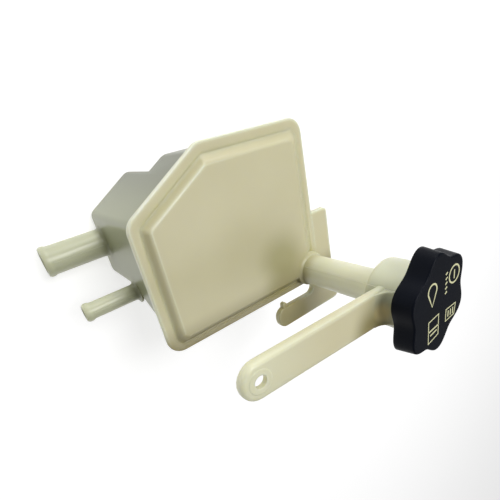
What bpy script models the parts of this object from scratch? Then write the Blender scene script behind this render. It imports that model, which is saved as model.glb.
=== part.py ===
"""Remote power steering fluid reservoir with a tall filler neck and a screw cap.

A deep tub with two hose nipples is closed by a five-sided cover. The cover is one
moulding with the filler neck, the cap's collar, a long mounting arm and a hooked
bracket. All sizes are in metres. Shapes are drawn about the filler neck's axis, with
z = 0 on the cover's rim, and one empty then moves them so that the world's origin is
the centre of the arm's bolt hole, on the arm's top face.
"""

import math

import bmesh
import bpy

# Cover outline, as distances from the neck's axis
COVER_TO_LEFT = 0.1069
COVER_TO_RIGHT = 0.0091
COVER_TO_BACK = 0.0928
COVER_TO_FRONT = 0.0097
CHAMFER_ANGLE = math.radians(30.8)
CHAMFER_REACH = 0.1108
COVER_CORNER = 0.0090

# Cover section
RIM_THICKNESS = 0.0020
RIM_EDGE = 0.0010
RIM_CORNER = 0.0045
VALLEY_DEPTH = 0.0007
VALLEY_LIP = 0.0014
VALLEY_IN_RIGHT = 0.0048
VALLEY_IN_BACK = 0.0062
VALLEY_IN_CHAMFER = 0.0062
VALLEY_IN_LEFT = 0.0058
VALLEY_IN_FRONT = 0.0044
PANEL_RISE = 0.0035
PANEL_IN_RIGHT = 0.0116
PANEL_IN_BACK = 0.0114
PANEL_IN_CHAMFER = 0.0098
PANEL_IN_LEFT = 0.0098
PANEL_IN_FRONT = 0.0090
PANEL_CORNER = 0.0030
COVER_WALL = 0.0022
RIB_WALL = 0.0014
RIB_DEPTH = 0.0030

# Tub
WALL = 0.0022
TUB_INSET = 0.0038
TUB_DRAFT = 0.020
TUB_DEPTH = 0.0500
TUB_CORNER = 0.0080
TUB_BOTTOM_RADIUS = 0.0055
FRONT_WALL_LEAN = 0.47
FLANGE_THICKNESS = 0.0016
FLANGE_STEP = 0.0012

# Sump, the deep pocket of the tub
SUMP_DEPTH = 0.0885
SUMP_TOP = 0.0120
SUMP_INSET = 0.0042
SUMP_TO_INNER_WALL = 0.0650
SUMP_TO_FRONT_WALL = 0.0195
SUMP_CORNER = 0.0055
SUMP_BOTTOM_RADIUS = 0.0050

# Hose nipples on the sump's left wall
OUTLET_RADIUS = 0.0090
OUTLET_WALL = 0.0019
OUTLET_Y = 0.0450
OUTLET_ABOVE_BOTTOM = 0.0122
OUTLET_LENGTH = 0.0376
RETURN_RADIUS = 0.0050
RETURN_WALL = 0.0013
RETURN_Y = 0.0184
RETURN_Z = -0.0413
RETURN_LENGTH = 0.0320
NIPPLE_ROOT_FILLET = 0.0025
NIPPLE_BEAD = 0.0006
NIPPLE_BEAD_LENGTH = 0.0045
NIPPLE_BEAD_RAMP = 0.0013

# Filler neck, and the collar that takes the cap
NECK_RADIUS = 0.0098
NECK_BORE = 0.0074
NECK_ROOT_FILLET = 0.0018
NECK_ROOT_SINK = 0.0003
COLLAR_BOTTOM = 0.0580
COLLAR_RADIUS = 0.0183
COLLAR_WALL = 0.0023
COLLAR_SHOULDER_RADIUS = 0.0025
COLLAR_FLOOR = 0.0025
LIP_BOTTOM = 0.0775
LIP_HEIGHT = 0.0010
LIP_PROUD = 0.0009
THROAT_RADIUS = 0.0046
THROAT_CLEARANCE = 0.0005

# Mounting arm
ARM_TOP = 0.0705
ARM_THICKNESS = 0.0053
ARM_LENGTH = 0.0962
ARM_ANGLE = math.radians(176.6)
ARM_ROOT_RADIUS = 0.0103
ARM_TIP_RADIUS = 0.0092
ARM_EDGE = 0.0018
ARM_WEB = 0.0024
ARM_SIDE_WALL = 0.0021
ARM_HOLE = 0.0030
ARM_BOSS_RADIUS = 0.0056
ARM_BOSS_PROUD = 0.0002

# Hooked bracket around the cover's front right corner
BRACKET_TOP = -0.0006
BRACKET_THICKNESS = 0.0042
BRACKET_EDGE = 0.0008
BRACKET_BITE = 0.0006
BRACKET_CORNER = 0.0060
TAB_TO_RIGHT = 0.0233
TAB_TO_BACK = 0.0353
TAB_CORNER = 0.0035
FOOT_TO_RIGHT = 0.0275
FOOT_BACK = -0.0190
FOOT_SHOULDER = 0.0090
HOOK_TO_FRONT = 0.0333
HOOK_WIDTH = 0.0142
HOOK_TO_LEFT = 0.0312
HOOK_CORNER = 0.0062
SLOT_END_X = 0.0024
SLOT_ARC_START = math.radians(50)
NUB_RADIUS = 0.0018
NUB_HEIGHT = 0.0034
NUB_FROM_TIP = 0.0070

# Filler cap
CAP_CLEARANCE = 0.0005
CAP_HEIGHT = 0.0107
CAP_LOBES = 6
CAP_LOBE_ANGLE = math.radians(37.1)
CAP_REACH = 0.0066
CAP_TAPER = 0.0012
CAP_LOBE_DEPTH = 0.0019
CAP_STRETCH = 1.196
CAP_LONG_ANGLE = math.radians(68.2)
CAP_EDGE = 0.0011
CAP_WALL = 0.0016
PLUG_CLEARANCE = 0.0017
PLUG_WALL = 0.0019
PLUG_LENGTH = 0.0190

# Cap gasket
GASKET_THICKNESS = 0.0017
GASKET_INSET = 0.0008
GASKET_EDGE = 0.0003

# Strainer over the outlet, inside the sump
STRAINER_LENGTH = 0.0270
STRAINER_RADIUS = 0.0080
STRAINER_END_WALL = 0.0016
STRAINER_RING = 0.0024
STRAINER_BAR = 0.0022
STRAINER_BARS = 6
STRAINER_WALL = 0.0012
WINDOW_REACH = 0.0120
SPIGOT_LENGTH = 0.0060
SPIGOT_WALL = 0.0011
SCREEN_THICKNESS = 0.0005

# Clearance between separate pieces, and how finely arcs are divided
GAP = 0.0003
CUT_MARGIN = 0.0010
CORNER_STEPS = 6
EDGE_STEPS = 3
SLOPE_STEPS = 5
ROUND_STEPS = 48
BORE_STEPS = 32
CAP_STEPS = 96
SHARP_ANGLE = math.radians(35)

# Outward directions of the cover's five sides, anticlockwise from the right
RIGHT = 0.0
BACK = math.pi / 2
CHAMFER = math.pi / 2 + CHAMFER_ANGLE
LEFT = math.pi
FRONT = 3 * math.pi / 2

# Places that follow from the sizes above
TUB_TOP = -RIM_THICKNESS - GAP
CAP_BOTTOM = LIP_BOTTOM + LIP_HEIGHT + CAP_CLEARANCE
CAP_CEILING = CAP_BOTTOM + CAP_HEIGHT - CAP_WALL
CAP_RADIUS_BOTTOM = COLLAR_RADIUS + CAP_REACH
CAP_RADIUS_TOP = CAP_RADIUS_BOTTOM - CAP_TAPER
PLUG_RADIUS = COLLAR_RADIUS - COLLAR_WALL - PLUG_CLEARANCE
OUTLET_Z = OUTLET_ABOVE_BOTTOM - SUMP_DEPTH
COLLAR_TOP = CAP_CEILING - GASKET_THICKNESS - 2 * GAP
BOLT_X = ARM_LENGTH * math.cos(ARM_ANGLE)
BOLT_Y = ARM_LENGTH * math.sin(ARM_ANGLE)
SUMP_FACE_X = SUMP_INSET - COVER_TO_LEFT
SUMP_INNER_FACE_X = SUMP_FACE_X + WALL


def clear_scene():
    """Removes every object, so the model starts from an empty scene."""
    for thing in list(bpy.data.objects):
        bpy.data.objects.remove(thing, do_unlink=True)


def plastic(name, colour, roughness):
    """Gives a plain Principled material."""
    material = bpy.data.materials.new(name)
    material.use_nodes = True
    shader = material.node_tree.nodes["Principled BSDF"]
    shader.inputs["Base Color"].default_value = (*colour, 1.0)
    shader.inputs["Roughness"].default_value = roughness
    shader.inputs["Metallic"].default_value = 0.0
    material.diffuse_color = (*colour, 1.0)
    return material


def arc(centre, radius, start, end, steps):
    """Points on an arc from one angle to another, both ends included."""
    points = []
    for step in range(steps + 1):
        angle = start + (end - start) * step / steps
        x = centre[0] + radius * math.cos(angle)
        y = centre[1] + radius * math.sin(angle)
        points.append((x, y))
    return points


def circle(radius, steps, centre=(0.0, 0.0)):
    """Points on a whole circle, the first not repeated."""
    return arc(centre, radius, 0.0, 2 * math.pi * (steps - 1) / steps, steps - 1)


def meeting_point(angle_a, reach_a, angle_b, reach_b):
    """Where two lines cross, each given by its outward normal and its distance."""
    ax, ay = math.cos(angle_a), math.sin(angle_a)
    bx, by = math.cos(angle_b), math.sin(angle_b)
    cross = ax * by - ay * bx
    x = (reach_a * by - reach_b * ay) / cross
    y = (ax * reach_b - bx * reach_a) / cross
    return (x, y)


def rounded_polygon(sides, radius):
    """A convex outline: sides are (outward direction, distance), anticlockwise."""
    points = []
    for index, (angle, reach) in enumerate(sides):
        next_angle, next_reach = sides[(index + 1) % len(sides)]
        turn = (next_angle - angle) % (2 * math.pi)
        centre = meeting_point(angle, reach - radius, next_angle, next_reach - radius)
        points += arc(centre, radius, angle, angle + turn, CORNER_STEPS)
    return points


def bar_outline(near, near_radius, far, far_radius, steps):
    """A bar with round ends, whose straight sides touch both end circles."""
    dx, dy = far[0] - near[0], far[1] - near[1]
    heading = math.atan2(dy, dx)
    spread = math.acos((near_radius - far_radius) / math.hypot(dx, dy))
    far_end = arc(far, far_radius, heading - spread, heading + spread, steps)
    near_end = arc(near, near_radius, heading + spread, heading + 2 * math.pi - spread, steps)
    return far_end + near_end


def inset_outline(points, inset):
    """Moves each point of an anticlockwise outline inwards along its own bisector."""
    moved = []
    for index, (x, y) in enumerate(points):
        before_x, before_y = points[index - 1]
        after_x, after_y = points[(index + 1) % len(points)]
        in_length = math.hypot(x - before_x, y - before_y)
        out_length = math.hypot(after_x - x, after_y - y)
        normal_x = -(y - before_y) / in_length - (after_y - y) / out_length
        normal_y = (x - before_x) / in_length + (after_x - x) / out_length
        shift = 2 * inset / (normal_x ** 2 + normal_y ** 2)
        moved.append((x + normal_x * shift, y + normal_y * shift))
    return moved


def at_height(points, z):
    """Lifts a flat outline to one height."""
    return [(x, y, z) for x, y in points]


def skin(name, rings, material, closed=False):
    """One closed body from rings of equally many points, capped or joined end to end."""
    shape = bmesh.new()
    loops = [[shape.verts.new(point) for point in ring] for ring in rings]
    count = len(rings[0])
    pairs = list(zip(loops, loops[1:]))
    if closed:
        pairs.append((loops[-1], loops[0]))
    else:
        shape.faces.new(loops[0])
        shape.faces.new(list(reversed(loops[-1])))
    for lower, upper in pairs:
        for index in range(count):
            following = (index + 1) % count
            corners = (lower[index], upper[index], upper[following], lower[following])
            shape.faces.new(corners)
    bmesh.ops.recalc_face_normals(shape, faces=shape.faces)
    mesh = bpy.data.meshes.new(name)
    shape.to_mesh(mesh)
    shape.free()
    mesh.materials.append(material)
    mesh.shade_smooth()
    mesh.set_sharp_from_angle(angle=SHARP_ANGLE)
    thing = bpy.data.objects.new(name, mesh)
    bpy.context.scene.collection.objects.link(thing)
    return thing


def turned(name, profile, material, steps=ROUND_STEPS, closed=False, centre=(0.0, 0.0)):
    """A body turned about a vertical axis from (radius, height) pairs."""
    rings = [at_height(circle(radius, steps, centre), z) for radius, z in profile]
    return skin(name, rings, material, closed)


def turned_along_x(name, profile, y, z, material, steps):
    """A body turned about an axis along X from (x, radius) pairs."""
    rings = []
    for x, radius in profile:
        rings.append([(x, y + across, z + up) for across, up in circle(radius, steps)])
    return skin(name, rings, material)


def plate(name, outline, bottom, top, edge, material):
    """A flat plate whose upper and lower edges are rounded."""
    rings = []
    for step in range(EDGE_STEPS + 1):
        angle = BACK * step / EDGE_STEPS
        outline_here = inset_outline(outline, edge * (1 - math.sin(angle)))
        rings.append(at_height(outline_here, bottom + edge * (1 - math.cos(angle))))
    for step in range(EDGE_STEPS + 1):
        angle = BACK * step / EDGE_STEPS
        outline_here = inset_outline(outline, edge * (1 - math.cos(angle)))
        rings.append(at_height(outline_here, top - edge * (1 - math.sin(angle))))
    return skin(name, rings, material)


def combine(target, tool, operation):
    """Adds, cuts or intersects a helper body, which is hidden as a guide."""
    step = target.modifiers.new(tool.name, "BOOLEAN")
    step.operation = operation
    step.solver = "EXACT"
    step.object = tool
    tool.hide_render = True
    tool.display_type = "WIRE"


def settle(target):
    """Applies the body's Boolean steps and marks the edges that they made as sharp."""
    bpy.context.view_layer.update()
    solid = target.evaluated_get(bpy.context.evaluated_depsgraph_get())
    mesh = bpy.data.meshes.new_from_object(solid)
    tools = [step.object for step in target.modifiers]
    target.modifiers.clear()
    target.data = mesh
    mesh.shade_smooth()
    mesh.set_sharp_from_angle(angle=SHARP_ANGLE)
    for tool in tools:
        bpy.data.objects.remove(tool, do_unlink=True)


def cover_sides(inset, lean=0.0):
    """The cover's five sides moved inwards, with the front side moved further."""
    return [
        (RIGHT, COVER_TO_RIGHT - inset),
        (BACK, COVER_TO_BACK - inset),
        (CHAMFER, CHAMFER_REACH - inset),
        (LEFT, COVER_TO_LEFT - inset),
        (FRONT, COVER_TO_FRONT - inset - lean),
    ]


def cover_ring(inset, z):
    """The cover's outline at one inset and height."""
    return at_height(rounded_polygon(cover_sides(inset), COVER_CORNER - inset), z)


def slope_ring(share, shift, z):
    """A ring between the valley's floor (share 0) and the panel's edge (share 1)."""
    insets = (
        (VALLEY_IN_RIGHT, PANEL_IN_RIGHT),
        (VALLEY_IN_BACK, PANEL_IN_BACK),
        (VALLEY_IN_CHAMFER, PANEL_IN_CHAMFER),
        (VALLEY_IN_LEFT, PANEL_IN_LEFT),
        (VALLEY_IN_FRONT, PANEL_IN_FRONT),
    )
    sides = []
    for (angle, reach), (valley, panel) in zip(cover_sides(shift), insets):
        sides.append((angle, reach - valley - (panel - valley) * share))
    radius = RIM_CORNER + (PANEL_CORNER - RIM_CORNER) * share
    return at_height(rounded_polygon(sides, radius), z)


def tub_ring(depth, inset):
    """The tub's outline at one depth below the rim."""
    sides = cover_sides(TUB_INSET + TUB_DRAFT * depth + inset, FRONT_WALL_LEAN * depth)
    return at_height(rounded_polygon(sides, TUB_CORNER - inset / 2), -depth)


def sump_ring(depth, inset):
    """The sump's outline at one depth below the rim."""
    sides = [
        (RIGHT, -SUMP_TO_INNER_WALL - inset),
        (CHAMFER, CHAMFER_REACH - SUMP_INSET - inset),
        (LEFT, COVER_TO_LEFT - SUMP_INSET - inset),
        (FRONT, -SUMP_TO_FRONT_WALL - inset),
    ]
    return at_height(rounded_polygon(sides, SUMP_CORNER - inset / 2), -depth)


def pocket(name, ring_at, top, bottom, edge, wall, material):
    """A pocket-shaped body from one depth down to another, with a rounded bottom."""
    rings = [ring_at(top, wall)]
    radius = edge - wall
    steps = EDGE_STEPS + 1
    for step in range(steps + 1):
        angle = BACK * step / steps
        depth = bottom - wall - radius * (1 - math.sin(angle))
        rings.append(ring_at(depth, wall + radius * (1 - math.cos(angle))))
    return skin(name, rings, material)


def add_nipple(body, name, radius, wall, length, y, z, material):
    """Adds one hose nipple with a filleted root and a beaded end, and bores it."""
    fillet = NIPPLE_ROOT_FILLET
    end = SUMP_FACE_X - length
    outside = [(SUMP_FACE_X + WALL / 2, radius + fillet)]
    for x, height in arc((SUMP_FACE_X - fillet, fillet), fillet, 0.0, -BACK, EDGE_STEPS + 1):
        outside.append((x, radius + height))
    outside.append((end + NIPPLE_BEAD_LENGTH, radius))
    outside.append((end + NIPPLE_BEAD_LENGTH - NIPPLE_BEAD_RAMP, radius + NIPPLE_BEAD))
    outside.append((end + NIPPLE_BEAD_RAMP, radius + NIPPLE_BEAD))
    outside.append((end, radius - NIPPLE_BEAD / 2))
    tube = turned_along_x(name + "_tube", outside, y, z, material, BORE_STEPS)
    combine(body, tube, "UNION")
    bore = [(SUMP_FACE_X + WALL + CUT_MARGIN, radius - wall), (end - CUT_MARGIN, radius - wall)]
    return turned_along_x(name + "_bore", bore, y, z, material, BORE_STEPS)


def build_body(material):
    """The tub and sump, their two nipples and the flange that meets the cover."""
    body = pocket("reservoir_body", tub_ring, -TUB_TOP, TUB_DEPTH, TUB_BOTTOM_RADIUS, 0.0, material)
    sump = pocket("sump_outside", sump_ring, SUMP_TOP, SUMP_DEPTH, SUMP_BOTTOM_RADIUS, 0.0, material)
    combine(body, sump, "UNION")
    flange_rings = [
        cover_ring(FLANGE_STEP, TUB_TOP),
        cover_ring(FLANGE_STEP, TUB_TOP - FLANGE_THICKNESS),
    ]
    combine(body, skin("flange", flange_rings, material), "UNION")
    bores = [
        add_nipple(
            body, "outlet", OUTLET_RADIUS, OUTLET_WALL, OUTLET_LENGTH, OUTLET_Y, OUTLET_Z, material
        ),
        add_nipple(
            body, "return", RETURN_RADIUS, RETURN_WALL, RETURN_LENGTH, RETURN_Y, RETURN_Z, material
        ),
    ]
    mouth = -TUB_TOP - CUT_MARGIN
    inside = pocket("tub_inside", tub_ring, mouth, TUB_DEPTH, TUB_BOTTOM_RADIUS, WALL, material)
    combine(body, inside, "DIFFERENCE")
    sump_inside = pocket(
        "sump_inside", sump_ring, SUMP_TOP, SUMP_DEPTH, SUMP_BOTTOM_RADIUS, WALL, material
    )
    combine(body, sump_inside, "DIFFERENCE")
    for bore in bores:
        combine(body, bore, "DIFFERENCE")
    settle(body)


def cover_rings():
    """The cover's section swept round its outline, from the panel out and back below."""
    valley = -VALLEY_DEPTH
    rings = []
    for step in range(SLOPE_STEPS + 1):
        share = 1 - step / SLOPE_STEPS
        blend = (1 - math.cos(math.pi * share)) / 2
        rings.append(slope_ring(share, 0.0, valley + (PANEL_RISE - valley) * blend))
    rings.append(slope_ring(0.0, -VALLEY_LIP, 0.0))
    for inset, z in arc((RIM_EDGE, -RIM_EDGE), RIM_EDGE, BACK, math.pi, EDGE_STEPS):
        rings.append(cover_ring(inset, z))
    rings.append(cover_ring(0.0, -RIM_THICKNESS))
    rib_foot = RIM_THICKNESS + RIB_DEPTH
    rings.append(tub_ring(RIM_THICKNESS, WALL + GAP))
    rings.append(tub_ring(rib_foot, WALL + GAP))
    rings.append(tub_ring(rib_foot, WALL + GAP + RIB_WALL))
    rings.append(tub_ring(RIM_THICKNESS, WALL + GAP + RIB_WALL))
    rings.append(slope_ring(1.0, COVER_WALL, PANEL_RISE - COVER_WALL))
    return rings


def neck_profile():
    """The outside of the neck and collar, as (radius, height) pairs from the bottom."""
    shoulder = COLLAR_SHOULDER_RADIUS
    profile = [(NECK_RADIUS, -RIM_THICKNESS), (NECK_RADIUS, COLLAR_BOTTOM)]
    centre = (COLLAR_RADIUS - shoulder, COLLAR_BOTTOM + shoulder)
    profile += arc(centre, shoulder, -BACK, 0.0, EDGE_STEPS)
    lip_top = LIP_BOTTOM + LIP_HEIGHT
    lip_edge = LIP_HEIGHT / 4
    profile.append((COLLAR_RADIUS, LIP_BOTTOM))
    profile.append((COLLAR_RADIUS + LIP_PROUD, LIP_BOTTOM + lip_edge))
    profile.append((COLLAR_RADIUS + LIP_PROUD, lip_top - lip_edge))
    profile.append((COLLAR_RADIUS, lip_top))
    profile.append((COLLAR_RADIUS, COLLAR_TOP))
    return profile


def add_neck_root(cover, material):
    """Adds the soft blend at the neck's foot, which grows only towards the panel."""
    fillet = NECK_ROOT_FILLET
    rings = []
    for grow, height in arc((fillet, fillet), fillet, LEFT, FRONT, EDGE_STEPS + 1):
        shift = grow / math.sqrt(2)
        outline = circle(NECK_RADIUS - NECK_ROOT_SINK + grow, ROUND_STEPS, (-shift, shift))
        rings.append(at_height(outline, PANEL_RISE + height))
    rings.append(at_height(outline, BRACKET_TOP - BRACKET_EDGE))
    combine(cover, skin("neck_root", rings, material), "UNION")


def add_arm(cover, material):
    """Adds the mounting arm, its blend into the collar and the boss round its hole."""
    bolt = (BOLT_X, BOLT_Y)
    outline = bar_outline((0.0, 0.0), ARM_ROOT_RADIUS, bolt, ARM_TIP_RADIUS, 2 * CORNER_STEPS)
    arm = plate("arm", outline, ARM_TOP - ARM_THICKNESS, ARM_TOP, ARM_EDGE, material)
    combine(cover, arm, "UNION")
    blend = LIP_BOTTOM + LIP_HEIGHT / 2 - ARM_TOP
    profile = [(NECK_RADIUS, ARM_TOP - ARM_EDGE), (COLLAR_RADIUS + blend, ARM_TOP - ARM_EDGE)]
    centre = (COLLAR_RADIUS + blend, ARM_TOP + blend)
    profile += arc(centre, blend, -BACK, -math.pi, 2 * EDGE_STEPS)
    profile.append((NECK_RADIUS, ARM_TOP + blend))
    fillet = turned("arm_fillet", profile, material)
    column_rings = [
        at_height(inset_outline(outline, ARM_EDGE / 2), ARM_TOP - ARM_THICKNESS),
        at_height(inset_outline(outline, ARM_EDGE / 2), COLLAR_TOP),
    ]
    column = skin("arm_column", column_rings, material)
    combine(fillet, column, "INTERSECT")
    settle(fillet)
    combine(cover, fillet, "UNION")
    face = ARM_TOP + ARM_BOSS_PROUD
    boss_profile = [
        (ARM_BOSS_RADIUS + ARM_BOSS_PROUD, ARM_TOP - ARM_EDGE),
        (ARM_BOSS_RADIUS + ARM_BOSS_PROUD, ARM_TOP),
        (ARM_BOSS_RADIUS, face),
    ]
    boss = turned("arm_boss", boss_profile, material, BORE_STEPS, centre=bolt)
    combine(cover, boss, "UNION")
    inner_end = COLLAR_RADIUS + ARM_SIDE_WALL + ARM_ROOT_RADIUS
    inner = (inner_end * math.cos(ARM_ANGLE), inner_end * math.sin(ARM_ANGLE))
    channel_outline = bar_outline(
        inner,
        ARM_ROOT_RADIUS - ARM_SIDE_WALL,
        bolt,
        ARM_TIP_RADIUS - ARM_SIDE_WALL,
        2 * CORNER_STEPS,
    )
    channel_rings = [
        at_height(channel_outline, ARM_TOP - ARM_THICKNESS - CUT_MARGIN),
        at_height(channel_outline, ARM_TOP - ARM_WEB),
    ]
    combine(cover, skin("arm_channel", channel_rings, material), "DIFFERENCE")
    hole_profile = [(ARM_HOLE, ARM_TOP - ARM_THICKNESS), (ARM_HOLE, face + CUT_MARGIN)]
    hole = turned("arm_hole", hole_profile, material, BORE_STEPS, centre=bolt)
    combine(cover, hole, "DIFFERENCE")


def bracket_outline():
    """The bracket seen from above, anticlockwise from the hook's rounded tip."""
    hook_back = HOOK_WIDTH - HOOK_TO_FRONT
    tip_x = HOOK_CORNER - HOOK_TO_LEFT
    points = arc((tip_x, hook_back - HOOK_CORNER), HOOK_CORNER, BACK, LEFT, CORNER_STEPS)
    points += arc((tip_x, HOOK_CORNER - HOOK_TO_FRONT), HOOK_CORNER, LEFT, FRONT, CORNER_STEPS)
    outer = (FOOT_TO_RIGHT - BRACKET_CORNER, BRACKET_CORNER - HOOK_TO_FRONT)
    points += arc(outer, BRACKET_CORNER, -BACK, 0.0, CORNER_STEPS)
    points.append((FOOT_TO_RIGHT, FOOT_BACK))
    points.append((TAB_TO_RIGHT, FOOT_BACK + FOOT_SHOULDER))
    top = (TAB_TO_RIGHT - TAB_CORNER, TAB_TO_BACK - TAB_CORNER)
    points += arc(top, TAB_CORNER, 0.0, BACK, CORNER_STEPS)
    points.append((COVER_TO_RIGHT - BRACKET_BITE, TAB_TO_BACK))
    corner = (COVER_TO_RIGHT - COVER_CORNER, COVER_CORNER - COVER_TO_FRONT)
    points += arc(corner, COVER_CORNER - BRACKET_BITE, 0.0, -BACK, CORNER_STEPS)
    slot_radius = (-COVER_TO_FRONT - hook_back) / 2
    slot_centre = (SLOT_END_X - slot_radius, hook_back + slot_radius)
    points += arc(slot_centre, slot_radius, SLOT_ARC_START, -BACK, 2 * CORNER_STEPS)
    return points


def add_bracket(cover, material):
    """Adds the bracket with its tab, its hook and the nub near the hook's tip."""
    bottom = BRACKET_TOP - BRACKET_THICKNESS
    bracket = plate("bracket", bracket_outline(), bottom, BRACKET_TOP, BRACKET_EDGE, material)
    combine(cover, bracket, "UNION")
    nub_x = NUB_FROM_TIP - HOOK_TO_LEFT
    hook_back = HOOK_WIDTH - HOOK_TO_FRONT
    foot = (nub_x, hook_back - NUB_RADIUS)
    crown = (nub_x, hook_back + NUB_HEIGHT - NUB_RADIUS)
    outline = bar_outline(foot, NUB_RADIUS, crown, NUB_RADIUS, CORNER_STEPS)
    edge = BRACKET_EDGE / 2
    nub = plate("hook_nub", outline, bottom + edge, BRACKET_TOP - edge, edge, material)
    combine(cover, nub, "UNION")


def build_cover(material):
    """The cover with its neck, collar, arm and bracket, all one moulding."""
    cover = skin("top_cover", cover_rings(), material)
    combine(cover, turned("neck", neck_profile(), material), "UNION")
    add_neck_root(cover, material)
    add_arm(cover, material)
    add_bracket(cover, material)
    bore_floor = PANEL_RISE - COVER_WALL
    cup_radius = COLLAR_RADIUS - COLLAR_WALL
    bore_profile = [
        (NECK_BORE, bore_floor),
        (NECK_BORE, COLLAR_BOTTOM + COLLAR_FLOOR),
        (cup_radius, COLLAR_BOTTOM + COLLAR_FLOOR),
        (cup_radius, COLLAR_TOP + CUT_MARGIN),
    ]
    combine(cover, turned("neck_bore", bore_profile, material), "DIFFERENCE")
    reach = TUB_INSET + WALL + THROAT_CLEARANCE + THROAT_RADIUS
    throat_centre = (COVER_TO_RIGHT - reach, reach - COVER_TO_FRONT)
    throat_profile = [
        (THROAT_RADIUS, TUB_TOP - RIB_DEPTH - CUT_MARGIN),
        (THROAT_RADIUS, bore_floor + CUT_MARGIN),
    ]
    throat = turned("throat", throat_profile, material, BORE_STEPS, centre=throat_centre)
    combine(cover, throat, "DIFFERENCE")
    settle(cover)


def lobed_ring(radius, z):
    """An oval ring with the cap's finger lobes."""
    long_way = math.sqrt(CAP_STRETCH)
    ring = []
    for step in range(CAP_STEPS):
        angle = 2 * math.pi * step / CAP_STEPS
        reach = radius + CAP_LOBE_DEPTH * math.cos(CAP_LOBES * (angle - CAP_LOBE_ANGLE))
        along = reach * math.cos(angle - CAP_LONG_ANGLE) * long_way
        across = reach * math.sin(angle - CAP_LONG_ANGLE) / long_way
        x = along * math.cos(CAP_LONG_ANGLE) - across * math.sin(CAP_LONG_ANGLE)
        y = along * math.sin(CAP_LONG_ANGLE) + across * math.cos(CAP_LONG_ANGLE)
        ring.append((x, y, z))
    return ring


def build_cap(material):
    """The cap: a hollow oval knob with finger lobes and a plug tube in the collar."""
    top = CAP_BOTTOM + CAP_HEIGHT
    rings = []
    for inset, z in arc((CAP_EDGE, top - CAP_EDGE), CAP_EDGE, BACK, math.pi, EDGE_STEPS):
        rings.append(lobed_ring(CAP_RADIUS_TOP - inset, z))
    rings.append(lobed_ring(CAP_RADIUS_BOTTOM, CAP_BOTTOM))
    inside_bottom = CAP_RADIUS_BOTTOM - CAP_WALL
    inside_top = CAP_RADIUS_TOP - CAP_WALL
    rings.append(lobed_ring(inside_bottom, CAP_BOTTOM))
    rings.append(lobed_ring(inside_top, CAP_CEILING))
    plug_bottom = CAP_CEILING - PLUG_LENGTH
    plug_inside = PLUG_RADIUS - PLUG_WALL
    rings.append(at_height(circle(PLUG_RADIUS, CAP_STEPS), CAP_CEILING))
    rings.append(at_height(circle(PLUG_RADIUS, CAP_STEPS), plug_bottom))
    rings.append(at_height(circle(plug_inside, CAP_STEPS), plug_bottom))
    rings.append(at_height(circle(plug_inside, CAP_STEPS), CAP_CEILING))
    return skin("filler_cap", rings, material)


def build_gasket(material):
    """The flat ring between the collar's top and the inside of the cap."""
    bottom = COLLAR_TOP + GAP
    top = bottom + GASKET_THICKNESS
    inner = PLUG_RADIUS + GAP
    outer = COLLAR_RADIUS - GASKET_INSET
    profile = [
        (inner, bottom),
        (outer - GASKET_EDGE, bottom),
        (outer, bottom + GASKET_EDGE),
        (outer, top - GASKET_EDGE),
        (outer - GASKET_EDGE, top),
        (inner, top),
    ]
    return turned("cap_gasket", profile, material, closed=True)


def box(name, centre, size, turn, material):
    """A box turned about its own long axis, which lies along X."""
    rings = []
    for x in (centre[0] - size[0] / 2, centre[0] + size[0] / 2):
        ring = []
        for across, up in ((-1, -1), (1, -1), (1, 1), (-1, 1)):
            y, z = across * size[1] / 2, up * size[2] / 2
            turned_y = y * math.cos(turn) - z * math.sin(turn)
            turned_z = y * math.sin(turn) + z * math.cos(turn)
            ring.append((x, centre[1] + turned_y, centre[2] + turned_z))
        rings.append(ring)
    return skin(name, rings, material)


def build_strainer(frame_material, screen_material):
    """The strainer cage on the outlet's inner mouth, and the screen sleeve inside it."""
    face = SUMP_INNER_FACE_X + GAP
    far_end = face + STRAINER_LENGTH
    cage_inside = STRAINER_RADIUS - STRAINER_WALL
    spigot = OUTLET_RADIUS - OUTLET_WALL - GAP
    profile = [
        (far_end - STRAINER_END_WALL, cage_inside),
        (face + STRAINER_END_WALL, cage_inside),
        (face + STRAINER_END_WALL, spigot - SPIGOT_WALL),
        (face - SPIGOT_LENGTH, spigot - SPIGOT_WALL),
        (face - SPIGOT_LENGTH, spigot),
        (face, spigot),
        (face, STRAINER_RADIUS),
        (far_end, STRAINER_RADIUS),
    ]
    cage = turned_along_x(
        "strainer_cage", profile, OUTLET_Y, OUTLET_Z, frame_material, BORE_STEPS
    )
    window = 2 * math.pi * cage_inside / STRAINER_BARS - STRAINER_BAR
    length = STRAINER_LENGTH - 2 * STRAINER_RING
    middle = (face + STRAINER_LENGTH / 2, OUTLET_Y, OUTLET_Z)
    for index in range(STRAINER_BARS // 2):
        size = (length, window, 2 * WINDOW_REACH)
        turn = 2 * math.pi * index / STRAINER_BARS
        name = "strainer_window_" + str(index + 1)
        combine(cage, box(name, middle, size, turn, frame_material), "DIFFERENCE")
    settle(cage)
    outer = cage_inside - GAP
    inner = outer - SCREEN_THICKNESS
    start = face + STRAINER_END_WALL + GAP
    end = far_end - STRAINER_END_WALL - GAP
    rings = []
    for x, radius in ((start, outer), (end, outer), (end, inner), (start, inner)):
        ring = [(x, OUTLET_Y + a, OUTLET_Z + b) for a, b in circle(radius, BORE_STEPS)]
        rings.append(ring)
    skin("strainer_screen", rings, screen_material, closed=True)


def place_in_world():
    """Carries every object on one empty, with the bolt hole's centre at the origin."""
    frame = bpy.data.objects.new("reservoir_frame", None)
    frame.location = (-BOLT_X, -BOLT_Y, -ARM_TOP - ARM_BOSS_PROUD)
    for thing in list(bpy.data.objects):
        if thing.type == "MESH":
            thing.parent = frame
    bpy.context.scene.collection.objects.link(frame)


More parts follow.
